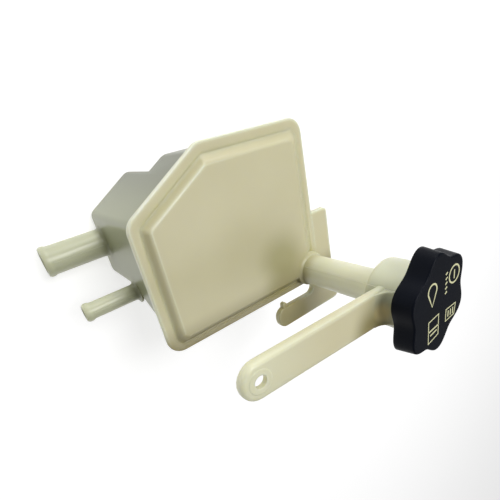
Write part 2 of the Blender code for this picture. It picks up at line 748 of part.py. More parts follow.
def build():
    """Makes the whole reservoir."""
    clear_scene()
    build_body(plastic("translucent_body", (0.42, 0.43, 0.31), 0.35))
    build_cover(plastic("natural_cover", (0.58, 0.54, 0.35), 0.35))
    build_cap(plastic("black_cap", (0.010, 0.012, 0.018), 0.45))
    build_gasket(plastic("seal_rubber", (0.015, 0.015, 0.015), 0.70))
    frame_material = plastic("strainer_nylon", (0.68, 0.66, 0.56), 0.40)
    screen_material = plastic("strainer_mesh", (0.62, 0.62, 0.55), 0.60)
    build_strainer(frame_material, screen_material)
    place_in_world()


build()
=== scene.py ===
# %% [markdown]
# # A steering fluid reservoir, dressed for its photograph
#
# The real thing is two large mouldings in natural plastic, welded together, and a black screw cap.
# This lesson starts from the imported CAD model, which fixes every size and place. Each step then
# gives one piece its finished surface, or adds a detail that a CAD model leaves out: the line of
# squeezed plastic at the weld, the parting lines of the moulds, the screw thread and the print.

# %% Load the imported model
import math
from functools import partial

import bmesh
import bpy
from mathutils import Matrix, Vector


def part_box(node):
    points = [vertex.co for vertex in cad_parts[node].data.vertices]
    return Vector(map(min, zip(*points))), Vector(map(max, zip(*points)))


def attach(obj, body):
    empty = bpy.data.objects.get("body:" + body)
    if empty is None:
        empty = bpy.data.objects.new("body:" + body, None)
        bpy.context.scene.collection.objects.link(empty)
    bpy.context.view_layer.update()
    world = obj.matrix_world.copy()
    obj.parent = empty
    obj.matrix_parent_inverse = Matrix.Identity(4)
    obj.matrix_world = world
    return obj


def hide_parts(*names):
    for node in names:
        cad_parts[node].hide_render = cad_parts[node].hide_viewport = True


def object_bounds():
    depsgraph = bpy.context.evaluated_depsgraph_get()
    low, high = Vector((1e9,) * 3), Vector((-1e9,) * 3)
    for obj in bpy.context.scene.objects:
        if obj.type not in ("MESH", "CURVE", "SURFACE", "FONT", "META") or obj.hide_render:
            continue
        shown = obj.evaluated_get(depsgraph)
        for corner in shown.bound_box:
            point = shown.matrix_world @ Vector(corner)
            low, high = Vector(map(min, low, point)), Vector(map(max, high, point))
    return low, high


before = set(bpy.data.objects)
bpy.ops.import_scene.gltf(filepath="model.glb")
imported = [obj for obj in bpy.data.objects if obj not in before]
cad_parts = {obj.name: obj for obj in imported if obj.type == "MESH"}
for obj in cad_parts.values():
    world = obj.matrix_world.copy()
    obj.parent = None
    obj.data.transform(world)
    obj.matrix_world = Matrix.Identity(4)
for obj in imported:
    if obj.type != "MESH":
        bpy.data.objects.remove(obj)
cad_low, cad_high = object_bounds()
print("CAD box in mm:", [round(1000 * (b - a), 1) for a, b in zip(cad_low, cad_high)])

# %% [markdown]
# Many places are easiest to say in millimetres from the filler neck's foot: its axis, at the height
# of the cover's rim. The seal ring is turned about that axis, so the middle of its box is a point
# on it. The rim is 70.7 mm below the origin.

# %% Find the neck's axis and the main heights
MM = 0.001
RIM_Z = -70.7 * MM
seal_low, seal_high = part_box("cap_gasket")
FOOT = Vector(((seal_low.x + seal_high.x) / 2, (seal_low.y + seal_high.y) / 2, RIM_Z))


def from_neck(x, y, z):
    """A place given in millimetres from the neck's foot, in the model's own frame."""
    return FOOT + Vector((x, y, z)) * MM


cap_low, cap_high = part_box("filler_cap")
CAP_BOTTOM = (cap_low.z - RIM_Z) / MM
CAP_TOP = (cap_high.z - RIM_Z) / MM
print("neck's foot at", [round(v / MM, 2) for v in FOOT], "mm")
print("cap from", round(CAP_BOTTOM, 1), "to", round(CAP_TOP, 1), "mm above the rim")

# %% [markdown]
# ## Materials
#
# Moulded plastic is never one flat colour. Its tone drifts slowly where the wall is thicker or the
# melt was cooler, and its skin has a very fine grain. Every plastic here has both, so they are made
# once, as a shader group with its own sizes, and each material mixes them in at its own strength.
#
# Node trees can be drawn by hand in the editor. Here they are built with the helpers below, so that
# a tree reads like a recipe: a node's inputs are given by name, each as a plain value or as the
# output of another node that feeds it.

# %% Helpers for node trees
def feed(tree, node, feeds):
    """Gives a node's inputs their values, or links them to other nodes' outputs."""
    for key, value in feeds.items():
        if isinstance(value, bpy.types.NodeSocket):
            tree.links.new(value, node.inputs[key])
        else:
            node.inputs[key].default_value = value


def add_node(tree, kind, feeds=None, **settings):
    """Adds a node, sets its own properties and then feeds its inputs."""
    node = tree.nodes.new(kind)
    for key, value in settings.items():
        setattr(node, key, value)
    feed(tree, node, feeds or {})
    return node


def math_node(tree, operation, *values):
    """The result of a Math node that works on outputs or numbers."""
    return add_node(tree, "ShaderNodeMath", dict(enumerate(values)), operation=operation).outputs[0]


def smooth_share(tree, value, start, end):
    """A share that goes smoothly from 0 at one value to 1 at another."""
    feeds = {"Value": value, "From Min": start, "From Max": end}
    node = add_node(tree, "ShaderNodeMapRange", feeds, interpolation_type="SMOOTHSTEP")
    return node.outputs["Result"]


def mix_tones(tree, tone, other, share):
    """The colour that goes from one tone to another as a share goes from 0 to 1."""
    feeds = {"Factor": share, "A": tone, "B": other}
    return add_node(tree, "ShaderNodeMix", feeds, data_type="RGBA").outputs["Result"]


def new_group(name, inputs, outputs):
    """A shader group with number inputs, each with a usual value, and number outputs."""
    group = bpy.data.node_groups.new(name, "ShaderNodeTree")
    sides = group.interface
    for key, value in inputs.items():
        sides.new_socket(key, in_out="INPUT", socket_type="NodeSocketFloat").default_value = value
    for key in outputs:
        sides.new_socket(key, in_out="OUTPUT", socket_type="NodeSocketFloat")
    return group, add_node(group, "NodeGroupInput").outputs


print("node helpers ready")

# %% [markdown]
# A real mould leaves two kinds of unevenness on the skin: the fine grain of its steel, and long low
# waves where the melt flowed. Both are noises, and "Flow" says how much of the waves there is. A
# third, very slow noise is for the tone. Object coordinates tie all three to the piece itself.

# %% A shader group for the drift in tone and the grain of the skin
FLOW_PER_METRE = 140.0


def build_skin_group():
    """Puts out a slow drift and a fine height, both from 0 to 1, from Object coordinates."""
    usual = {"Drift per metre": 25.0, "Grain per metre": 2500.0, "Flow": 0.5}
    group, sizes = new_group("moulded skin", usual, ("Drift", "Height"))
    place = add_node(group, "ShaderNodeTexCoord").outputs["Object"]
    kinds = ((sizes["Drift per metre"], 2.0), (sizes["Grain per metre"], 3.0), (FLOW_PER_METRE, 1.0))
    drift, grain, flow = [
        add_node(group, "ShaderNodeTexNoise", {"Vector": place, "Scale": scale, "Detail": detail})
        for scale, detail in kinds
    ]
    grain.inputs["Roughness"].default_value = 0.6
    feeds = {"Factor": sizes["Flow"], "A": grain.outputs["Fac"], "B": flow.outputs["Fac"]}
    height = add_node(group, "ShaderNodeMix", feeds, data_type="FLOAT").outputs["Result"]
    add_node(group, "NodeGroupOutput", {"Drift": drift.outputs["Fac"], "Height": height})
    return group


moulded_skin = build_skin_group()
print("group inputs:", [s.name for s in moulded_skin.interface.items_tree if s.in_out == "INPUT"])

# %% [markdown]
# Natural plastic also lets light in, and subsurface scattering shows that. Convex edges and rims
# get a paler tone, a painted highlight, and hollows get a deeper tone, painted shade. A second shader
# group finds them: a wide Bevel node's normal turns away from the surface's own at an edge, and
# ambient occlusion tells hollows from edges.

# %% A shader group for painted highlights on edges and painted shade in hollows
def build_edge_highlight_and_hollow_shade_group():
    """Puts out masks from 0 to 1 for a painted highlight on convex edges and for painted shade in
    hollows.
    """
    group, sizes = new_group(
        "thin and hollow", {"Edge reach": 3 * MM, "Hollow reach": 9 * MM}, ("Thin", "Hollow")
    )
    wide = add_node(group, "ShaderNodeBevel", {"Radius": sizes["Edge reach"]}, samples=4)
    own = add_node(group, "ShaderNodeNewGeometry")
    agree = add_node(
        group, "ShaderNodeVectorMath", {0: wide.outputs["Normal"], 1: own.outputs["Normal"]},
        operation="DOT_PRODUCT",
    )
    shade = add_node(
        group, "ShaderNodeAmbientOcclusion", {"Distance": sizes["Hollow reach"]},
        samples=6, only_local=True,
    )
    # Thin is the mask of the painted highlight on convex edges, and Hollow the mask of painted shade in
    # hollows.
    edge = smooth_share(group, agree.outputs["Value"], 0.998, 0.88)
    clear = smooth_share(group, shade.outputs["AO"], 0.75, 0.95)
    deep = smooth_share(group, shade.outputs["AO"], 0.98, 0.50)
    thin = math_node(group, "MULTIPLY", edge, clear)
    add_node(group, "NodeGroupOutput", {"Thin": thin, "Hollow": deep})
    return group


edge_highlight_and_hollow_shade_masks = build_edge_highlight_and_hollow_shade_group()
print("group outputs:", [s.name for s in edge_highlight_and_hollow_shade_masks.interface.items_tree if s.in_out == "OUTPUT"])

# %% [markdown]
# One function makes each plastic from the same parts: two close tones that the drift moves between,
# a little of the grain in the bumps, and a Bevel node that rounds the light on every crease. In a
# real moulding no edge is sharper than a few tenths of a millimetre, and where the neck, arm and
# bracket meet the cover the mould is filleted. The Bevel node gives that without more faces.

# %% A function for moulded plastics
def colour(*levels):
    """A colour read from 0 to 255 as a picture shows it, turned into linear values."""
    return tuple((v / 255 / 1.055 + 0.0521) ** 2.4 if v > 10 else v / 3294.6 for v in levels) + (1.0,)


# How strongly the painted edge highlight and the painted hollow shade are mixed in.
EDGE_HIGHLIGHT_STRENGTH, HOLLOW_SHADE_STRENGTH = 0.85, 0.6
SHINE_DRIFT = 0.025


def moulded(
    name, pale, deep, rough, bump, edge, glow=0.0, reach=(1.0, 1.0, 1.0), drift=25.0, grain=2500.0,
    flow=0.5, sheen=0.5, thin=None, hollow=None,
):
    """A moulded plastic between two tones, with grain, soft edges and some inner scattering."""
    material = bpy.data.materials.new(name)
    material.use_nodes = True
    tree = material.node_tree
    sizes = {"Drift per metre": drift, "Grain per metre": grain, "Flow": flow}
    skin = add_node(tree, "ShaderNodeGroup", sizes, node_tree=moulded_skin).outputs
    tone = mix_tones(tree, colour(*deep), colour(*pale), skin["Drift"])
    # thin is a paler tone painted on convex edges as a highlight, and hollow a deeper tone painted in
    # hollows as shade.
    if thin is not None:
        painted_light_masks = add_node(tree, "ShaderNodeGroup", node_tree=edge_highlight_and_hollow_shade_masks).outputs
        share = math_node(tree, "MULTIPLY", painted_light_masks["Thin"], EDGE_HIGHLIGHT_STRENGTH)
        tone = mix_tones(tree, tone, colour(*thin), share)
        share = math_node(tree, "MULTIPLY", painted_light_masks["Hollow"], HOLLOW_SHADE_STRENGTH)
        tone = mix_tones(tree, tone, colour(*hollow), share)
    shine = {"Value": skin["Drift"], "To Min": rough - SHINE_DRIFT, "To Max": rough + SHINE_DRIFT}
    rounded_edge = add_node(tree, "ShaderNodeBevel", {"Radius": edge * MM}, samples=6).outputs["Normal"]
    bumps = {"Strength": 1.0, "Distance": bump * MM, "Height": skin["Height"], "Normal": rounded_edge}
    feed(tree, tree.nodes["Principled BSDF"], {
        "Base Color": tone,
        "Roughness": add_node(tree, "ShaderNodeMapRange", shine).outputs["Result"],
        "Normal": add_node(tree, "ShaderNodeBump", bumps).outputs["Normal"],
        "IOR": 1.49,
        "Specular IOR Level": sheen,
        "Subsurface Weight": glow,
        "Subsurface Radius": reach,
        "Subsurface Scale": 4 * MM,
    })
    print("plastic:", name)
    return material


print("a mid grey of 128 is", round(colour(128)[0], 3), "in linear values")

# %% [markdown]
# The cover is the warm natural tone of unfilled plastic. The tub is the same plastic in a thinner
# wall with dark space behind it, so it looks greyer and greener. The cap is near black with a hint
# of blue, and its top is spark eroded, so it has more grain than the glossy parts. Bumps and edges
# are in millimetres.

# %% The plastics
# thin= is the highlight painted on convex edges, and hollow= the shade painted in hollows.
natural_cover = moulded(
    "natural cover plastic", pale=(205, 200, 167), deep=(193, 187, 152), rough=0.305, bump=0.02,
    edge=0.7, glow=0.45, reach=(1.0, 0.9, 0.5), flow=0.7, thin=(236, 246, 234), hollow=(176, 173, 116),
)
natural_tub = moulded(
    "natural tub plastic", pale=(151, 154, 124), deep=(135, 139, 108), rough=0.305, bump=0.02,
    edge=0.7, glow=0.40, reach=(1.0, 0.95, 0.65), flow=0.7, thin=(216, 220, 200), hollow=(150, 146, 104),
)
cap_black = moulded(
    "black cap plastic", pale=(12, 16, 25), deep=(8, 11, 18), rough=0.40, bump=0.03, edge=0.4,
    drift=60.0, grain=4500.0, flow=0.15, sheen=0.07,
)
strainer_white = moulded(
    "strainer plastic", pale=(232, 229, 214), deep=(224, 219, 200), rough=0.4, bump=0.01, edge=0.2,
    glow=0.3, reach=(1.0, 0.9, 0.7),
)
seal_rubber = moulded(
    "seal rubber", pale=(30, 30, 31), deep=(20, 20, 21), rough=0.7, bump=0.02, edge=0.2,
    drift=200.0, grain=6000.0, flow=0.1,
)

# %% [markdown]
# These tones are painted light and shade. The nipples, clear of the dark inside of the tub, get a
# paler tone, painted light for the light that passes through them. The cover's front edge gets
# painted shade. The neck and the collar, thin tubes open inside, get the palest and least yellow
# tone of the cover as painted light, with painted shade on their sides away from the light. The arm
# gets painted light towards its free end, and the back of the tub gets the deepest painted shade.
#
# Each such tone is mixed in by a mask of the place: a share that goes from 0 to 1 along an axis, and
# where several are given, their product.

# %% Painted light and shade that change along an axis
def mix_into(material, tone, share):
    """Mixes another tone into whatever already feeds a plastic's colour."""
    tree = material.node_tree
    skin_colour = tree.nodes["Principled BSDF"].inputs["Base Color"]
    tree.links.new(mix_tones(tree, skin_colour.links[0].from_socket, colour(*tone), share), skin_colour)


def tone_beyond(material, tone, *spans):
    """Mixes a tone in beyond every span: an axis with its start and end from the neck's foot."""
    tree = material.node_tree
    place = add_node(tree, "ShaderNodeTexCoord").outputs["Object"]
    parts = add_node(tree, "ShaderNodeSeparateXYZ", {0: place}).outputs
    share = None
    for axis, *ends in spans:
        start, end = [FOOT["XYZ".index(axis)] + v * MM for v in ends]
        passed = smooth_share(tree, parts[axis], start, end)
        share = passed if share is None else math_node(tree, "MULTIPLY", share, passed)
    mix_into(material, tone, share)


# Painted light on the nipples and painted shade on the back wall.
tub_painted_light_and_shade = {
    "nipples": ((192, 194, 166), ("X", -102.53, -109.03)),
    "back wall": ((104, 107, 84), ("Y", 60, 85)),
}
# Painted shade on the front edge and the far sides, and painted light on the neck, the collar and the
# arm's free end.
cover_painted_light_and_shade = {
    "front edge": ((158, 151, 116), ("Y", 9, -6), ("Y", -12.5, -9.5), ("Z", 10, 4)),
    "neck": ((222, 222, 194), ("Z", 5, 14), ("Z", 62, 54), ("X", -16, -12)),
    "collar": ((212, 214, 188), ("Z", 56, 62), ("X", -26, -16)),
    "arm's free end": ((212, 212, 184), ("X", -50, -110), ("Z", 50, 60)),
    "neck's far side": ((184, 182, 146), ("Y", 2, -9), ("X", -24, -14), ("Z", 20, 32)),
    "collar's far side": ((168, 170, 140), ("Y", 18, 5), ("X", -32, -16), ("Z", 57, 62)),
}
for material, tones in ((natural_tub, tub_painted_light_and_shade), (natural_cover, cover_painted_light_and_shade)):
    for tone, *spans in tones.values():
        tone_beyond(material, tone, *spans)
    print(material.name, "changes at:", ", ".join(tones))

# %% [markdown]
# Beside the neck's foot, at the hook and at the arm's root the cover gets painted shade: a deeper
# tone in soft round patches, each about a place. The last patch is the collar's side under the cap,
# where a lighter, warmer tone is painted into the shade for light from inside the plastic.

# %% Painted shade by the neck's foot, at the hook, at the arm's root and under the cap
def round_patch(material, tone, centre, whole, gone):
    """Mixes a tone in round a place, whole up to one distance and gone at another."""
    tree = material.node_tree
    place = add_node(tree, "ShaderNodeTexCoord").outputs["Object"]
    ends = {0: place, 1: from_neck(*centre)}
    away = add_node(tree, "ShaderNodeVectorMath", ends, operation="DISTANCE").outputs["Value"]
    mix_into(material, tone, smooth_share(tree, away, gone * MM, whole * MM))


painted_shade_patches = [
    # Painted shade: two by the neck's foot, one at the hook, one at the arm's root; last, the warmer
    # painted shade under the cap.
    ((174, 169, 128), (-22.5, 16.5, 3.5), 5.0, 23.5),
    ((150, 143, 98), (-26.0, -4.0, 2.0), 3.0, 21.0),
    ((170, 161, 112), (-19.0, -27.0, -1.0), 8.0, 20.0),
    ((150, 141, 99), (-27.0, -8.0, 68.5), 4.0, 19.0),
    ((213, 198, 142), (-18.5, 0.0, 70.0), 3.0, 8.0),
]
for patch in painted_shade_patches:
    round_patch(natural_cover, *patch)
print(len(painted_shade_patches), "patches on the cover")

# %% [markdown]
# The print on the cap is a pale ink, a little worn, so its tone varies at a small scale. The mesh
# of the strainer is a plain pale thread. The fine parting lines get a pale tone, a painted highlight
# along each line.

# %% The ink, the strainer's thread and the parting lines' plastic with a painted highlight
cap_ink = moulded(
    "pale cap ink", pale=(222, 221, 178), deep=(196, 195, 150), rough=0.5, bump=0.01, edge=0.05,
    drift=900.0, grain=7000.0,
)
mesh_thread = moulded(
    "strainer thread", pale=(226, 224, 210), deep=(205, 202, 186), rough=0.5, bump=0.01, edge=0.04,
    drift=400.0, grain=9000.0,
)
# The parting lines' pale tone is a painted highlight along each bead.
cover_seam_painted_highlight = moulded(
    "cover parting line, painted highlight", pale=(240, 240, 222), deep=(230, 229, 206), rough=0.31, bump=0.01, edge=0.03,
    glow=0.3,
)
tub_seam_painted_highlight = moulded(
    "tub parting line, painted highlight", pale=(224, 226, 206), deep=(212, 215, 192), rough=0.31, bump=0.01, edge=0.03,
    glow=0.3,
)

# %% [markdown]
# ## The two large mouldings
#
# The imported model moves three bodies: the reservoir, the cap and the cap's seal. Every finished
# piece rides on one of them, has a material slot, and may stand for a node of the CAD model.

# %% Make an object and let it ride on its body
def finish(piece, body, slot, *nodes):
    """Lets a piece ride on a body and hides the CAD nodes it stands for. The slot is not used."""
    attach(piece, body)
    if nodes:
        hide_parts(*nodes)
    triangles = sum(len(face.vertices) - 2 for face in piece.data.polygons)
    print(piece.name, "rides on", body + ",", triangles, "triangles")


def add_object(name, mesh, material=None):
    """A new object at the origin for a mesh whose points are already in place."""
    if material is not None:
        mesh.materials.clear()
        mesh.materials.append(material)
    piece = bpy.data.objects.new(name, mesh)
    bpy.context.scene.collection.objects.link(piece)
    return piece


print("CAD nodes to stand for:", sorted(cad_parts))

# %% [markdown]
# The CAD shapes of the cover and the tub are right, but their triangles are loose, so each would be
# shaded flat. A Weighted Normal modifier could smooth them. Here its rule is written out instead, so
# that it can be seen and gives plain data: where faces meet smoothly at a point, the light is worked
# out for their mean direction, and each face counts by its area. That keeps the large flat faces
# flat beside their narrow rounded edges.

# %% Work out the corners' normals
def weigh_normals(mesh):
    """Gives each fan of smoothly joined faces at a corner one normal, weighted by face area."""
    shape = bmesh.new()
    shape.from_mesh(mesh)
    normals = [None] * len(mesh.loops)
    for vertex in shape.verts:
        left = set(vertex.link_faces)
        while left:
            fan = [left.pop()]
            for face in fan:
                for edge in face.edges:
                    if edge.smooth and vertex in edge.verts:
                        joined = [other for other in edge.link_faces if other in left]
                        left.difference_update(joined)
                        fan.extend(joined)
            total = Vector()
            for face in fan:
                total += face.normal * face.calc_area()
            for face in fan:
                corner = [loop.vert for loop in face.loops].index(vertex)
                normals[mesh.polygons[face.index].loop_indices[corner]] = total.normalized()
    shape.free()
    mesh.normals_split_custom_set(normals)


# %% [markdown]
# A copy of the CAD node is merged at its corners, so that its faces are joined at all, and is shaded
# smooth up to 35 degrees. Sharper edges, such as the rim's inner corner, stay crisp.

# %% A smooth copy of a CAD node
MERGE_WITHIN = 0.002 * MM
SMOOTH_UP_TO = math.radians(35)


def smooth_copy(node, name, material):
    """Copies a CAD node's mesh, merges its corners and shades it smooth."""
    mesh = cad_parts[node].data.copy()
    mesh.name = name
    shape = bmesh.new()
    shape.from_mesh(mesh)
    bmesh.ops.remove_doubles(shape, verts=shape.verts, dist=MERGE_WITHIN)
    shape.normal_update()
    for face in shape.faces:
        face.smooth = True
    for edge in shape.edges:
        edge.smooth = edge.calc_face_angle(0.0) < SMOOTH_UP_TO
    shape.to_mesh(mesh)
    shape.free()
    weigh_normals(mesh)
    return add_object(name, mesh, material)


cover = smooth_copy("top_cover", "cover_moulding", natural_cover)
finish(cover, "reservoir", "cover_plastic", "top_cover")
tub = smooth_copy("reservoir_body", "tub_moulding", natural_tub)
finish(tub, "reservoir", "tub_plastic", "reservoir_body")
seal = smooth_copy("cap_gasket", "cap_seal_ring", seal_rubber)
finish(seal, "cap_seal", "seal_rubber", "cap_gasket")
cage = smooth_copy("strainer_cage", "strainer_frame", strainer_white)
finish(cage, "reservoir", "strainer_nylon", "strainer_cage")

# %% [markdown]
# ## Geometry Nodes helpers
#
# Things that repeat, or that follow a path, are made by Geometry Nodes. Each tree has named inputs
# for its sizes, and ends by turning its instances into real mesh and giving them a material.

# %% Start and end a tree
def start_tree(name, inputs):
    """A Geometry Nodes tree with a geometry input and output and named size inputs."""
    tree = bpy.data.node_groups.new(name, "GeometryNodeTree")
    tree.interface.new_socket("Geometry", in_out="INPUT", socket_type="NodeSocketGeometry")
    kinds = {float: "NodeSocketFloat", int: "NodeSocketInt"}
    for key, value in inputs.items():
        socket = tree.interface.new_socket(key, in_out="INPUT", socket_type=kinds[type(value)])
        socket.default_value = value
    tree.interface.new_socket("Geometry", in_out="OUTPUT", socket_type="NodeSocketGeometry")
    return tree, add_node(tree, "NodeGroupInput").outputs


def end_tree(tree, geometry, material):
    """Ends a tree in Realize Instances and Set Material."""
    real = add_node(tree, "GeometryNodeRealizeInstances", {"Geometry": geometry})
    paint = add_node(
        tree, "GeometryNodeSetMaterial", {"Geometry": real.outputs["Geometry"], "Material": material}
    )
    add_node(tree, "NodeGroupOutput", {"Geometry": paint.outputs["Geometry"]})
    return tree


print("trees end in:", "Realize Instances, Set Material")

# %% [markdown]
# Most of the trees sweep a small section along a curve, and most sections are round. To run a tree,
# its modifier gets its inputs. It stores them under the socket's identifier, so the helper looks the
# identifier up from the name before the object is first evaluated. The result is kept as plain mesh.

# %% Sweep a section and run a tree
def sweep(tree, curve, section, capped=True):
    """Sweeps a section along a curve."""
    feeds = {"Curve": curve, "Profile Curve": section, "Fill Caps": capped}
    return add_node(tree, "GeometryNodeCurveToMesh", feeds).outputs["Mesh"]


def round_section(tree, radius, points):
    """A small circle to sweep along a curve."""
    feeds = {"Resolution": points, "Radius": radius}
    return add_node(tree, "GeometryNodeCurvePrimitiveCircle", feeds).outputs["Curve"]


def run_tree(name, tree, values, mesh=None):
    """Runs a tree on a mesh, with its inputs set by identifier, and keeps the plain result."""
    piece = add_object(name, mesh or bpy.data.meshes.new(name))
    step = piece.modifiers.new("shape", "NODES")
    step.node_group = tree
    for item in tree.interface.items_tree:
        if item.in_out == "INPUT" and item.name in values:
            step[item.identifier] = values[item.name]
    bpy.context.view_layer.update()
    result = piece.evaluated_get(bpy.context.evaluated_depsgraph_get())
    plain = bpy.data.meshes.new_from_object(result)
    piece.modifiers.clear()
    plain.name = name
    plain.shade_smooth()
    plain.set_sharp_from_angle(angle=math.radians(40))
    piece.data = plain
    return piece


print("Geometry Nodes helpers ready")

# %% [markdown]
# ## The cap
#
# The cap is a hollow oval knob with six soft finger lobes. First a plain turned blank is drawn, with
# small rounded edges, a hollow skirt and the plug tube that goes into the collar. Then a Geometry
# Nodes tree presses the lobes into it. A mask keeps the plug round, and the lobes and the stretch
# fade in outside it. The profile is in millimetres, from the axis and from the cover's rim.

# %% Turn a blank from a profile
def turned_mesh(name, profile, steps):
    """A mesh turned about the neck's axis from (radius, height) pairs in millimetres."""
    shape = bmesh.new()
    rings = []
    for radius, z in profile:
        if radius == 0.0:
            rings.append([shape.verts.new(from_neck(0, 0, z))] * steps)
            continue
        angles = [2 * math.pi * step / steps for step in range(steps)]
        places = [from_neck(radius * math.cos(a), radius * math.sin(a), z) for a in angles]
        rings.append([shape.verts.new(place) for place in places])
    for lower, upper in zip(rings, rings[1:]):
        for step in range(steps):
            other = (step + 1) % steps
            corners = []
            for vertex in (lower[step], lower[other], upper[other], upper[step]):
                if vertex not in corners:
                    corners.append(vertex)
            shape.faces.new(corners)
    bmesh.ops.recalc_face_normals(shape, faces=shape.faces)
    mesh = bpy.data.meshes.new(name)
    shape.to_mesh(mesh)
    shape.free()
    return mesh


def rounded(centre_r, centre_z, radius, start, end, steps):
    """Points on a rounded edge of a turned profile, angles in degrees."""
    angles = [math.radians(start + (end - start) * step / steps) for step in range(steps + 1)]
    return [(centre_r + radius * math.cos(a), centre_z + radius * math.sin(a)) for a in angles]


KNOB_TOP = CAP_TOP - 0.04  # the print lies on it, inside the CAD box
KNOB_BOTTOM, KNOB_CEILING = 79.0, 88.1
TOP_RADIUS, HEM_RADIUS = 23.7, 24.9
PLUG_RADIUS, PLUG_INSIDE = 14.3, 12.4
knob_profile = [(radius, KNOB_TOP) for radius in (0.0, 12.0, 18.0, 21.2)]
knob_profile += rounded(TOP_RADIUS - 1.1, KNOB_TOP - 1.1, 1.1, 90, 0, 5)
for share in (0.25, 0.5, 0.75):
    knob_profile.append((TOP_RADIUS + (HEM_RADIUS - TOP_RADIUS) * share, KNOB_TOP - 1.1 - 9.2 * share))
knob_profile += rounded(HEM_RADIUS - 0.4, KNOB_BOTTOM + 0.4, 0.4, 0, -90, 3)
knob_profile += rounded(HEM_RADIUS - 1.2, KNOB_BOTTOM + 0.4, 0.4, -90, -180, 3)
knob_profile += [(22.2, KNOB_CEILING - 0.8), (21.4, KNOB_CEILING), (15.2, KNOB_CEILING)]
knob_profile += [(PLUG_RADIUS, KNOB_CEILING - 0.6), (PLUG_RADIUS, CAP_BOTTOM + 0.6)]
knob_profile += rounded(PLUG_RADIUS - 0.6, CAP_BOTTOM + 0.6, 0.6, 0, -90, 3)
knob_profile += rounded(PLUG_INSIDE + 0.5, CAP_BOTTOM + 0.5, 0.5, -90, -180, 3)
knob_profile += [(PLUG_INSIDE, KNOB_CEILING - 1.0)]
knob_profile += [(PLUG_INSIDE - 1.0, KNOB_CEILING), (0.0, KNOB_CEILING)]
blank = turned_mesh("cap_knob", knob_profile, steps=288)
print("blank has", len(blank.polygons), "faces")

# %% [markdown]
# The lobes could be drawn one by one, but they follow a rule: six equal waves round the knob. So the
# tree works out each point's angle and distance from the axis and adds the wave. Then it stretches
# the knob along its long way and squeezes it across by the same ratio, which keeps its area.

# %% Press the finger lobes into the blank
def build_lobe_tree():
    """Moves points out and in by a cosine of their angle, then stretches them one way."""
    tree, sizes = start_tree(
        "finger lobes",
        {"Lobes": 6, "Depth": 1.9 * MM, "First lobe": 0.6, "Stretch": 1.0, "Long way": 0.0,
         "Axis X": 0.0, "Axis Y": 0.0, "Round up to": 16.5 * MM, "Lobed from": 20.5 * MM},
    )
    work = partial(math_node, tree)
    position = add_node(tree, "GeometryNodeInputPosition").outputs[0]
    parts = add_node(tree, "ShaderNodeSeparateXYZ", {0: position}).outputs
    across = work("SUBTRACT", parts["X"], sizes["Axis X"])
    along = work("SUBTRACT", parts["Y"], sizes["Axis Y"])
    angle = work("ARCTAN2", along, across)
    radius = work("SQRT", work("ADD", work("POWER", across, 2.0), work("POWER", along, 2.0)))
    mask = smooth_share(tree, radius, sizes["Round up to"], sizes["Lobed from"])

    turn = work("SUBTRACT", angle, sizes["First lobe"])
    wave = work("COSINE", work("MULTIPLY", turn, sizes["Lobes"]))
    reach = work("ADD", radius, work("MULTIPLY", work("MULTIPLY", wave, sizes["Depth"]), mask))
    extra = work("MULTIPLY", work("SUBTRACT", work("SQRT", sizes["Stretch"]), 1.0), mask)
    ratio = work("ADD", extra, 1.0)

    heading = work("SUBTRACT", angle, sizes["Long way"])
    long_part = work("MULTIPLY", work("MULTIPLY", reach, work("COSINE", heading)), ratio)
    short_part = work("DIVIDE", work("MULTIPLY", reach, work("SINE", heading)), ratio)
    cosine = work("COSINE", sizes["Long way"])
    sine = work("SINE", sizes["Long way"])
    new_x = work("SUBTRACT", work("MULTIPLY", long_part, cosine), work("MULTIPLY", short_part, sine))
    new_y = work("ADD", work("MULTIPLY", long_part, sine), work("MULTIPLY", short_part, cosine))
    change = {"X": work("SUBTRACT", new_x, across), "Y": work("SUBTRACT", new_y, along)}
    shift = add_node(tree, "ShaderNodeCombineXYZ", change).outputs[0]
    move = add_node(tree, "GeometryNodeSetPosition", {"Geometry": sizes["Geometry"], "Offset": shift})
    return end_tree(tree, move.outputs["Geometry"], cap_black)


knob = run_tree(
    "cap_knob", build_lobe_tree(),
    {"First lobe": math.radians(37.1), "Stretch": 1.196, "Long way": math.radians(68.2),
     "Axis X": FOOT.x, "Axis Y": FOOT.y},
    mesh=blank,
)
finish(knob, "cap", "cap_plastic", "filler_cap")

# %% [markdown]
# ## The screw thread
#
# The cap is held by a coarse thread of 4 mm pitch. Its ridge on the plug and its ridge in the
# collar are the same shape, half a pitch apart, so one tree makes both. It sweeps a round section
# along a spiral, half sunk in the wall, and lets it run out to nothing at both ends. The spiral
# climbs anticlockwise, because the cap rises when it is turned that way.

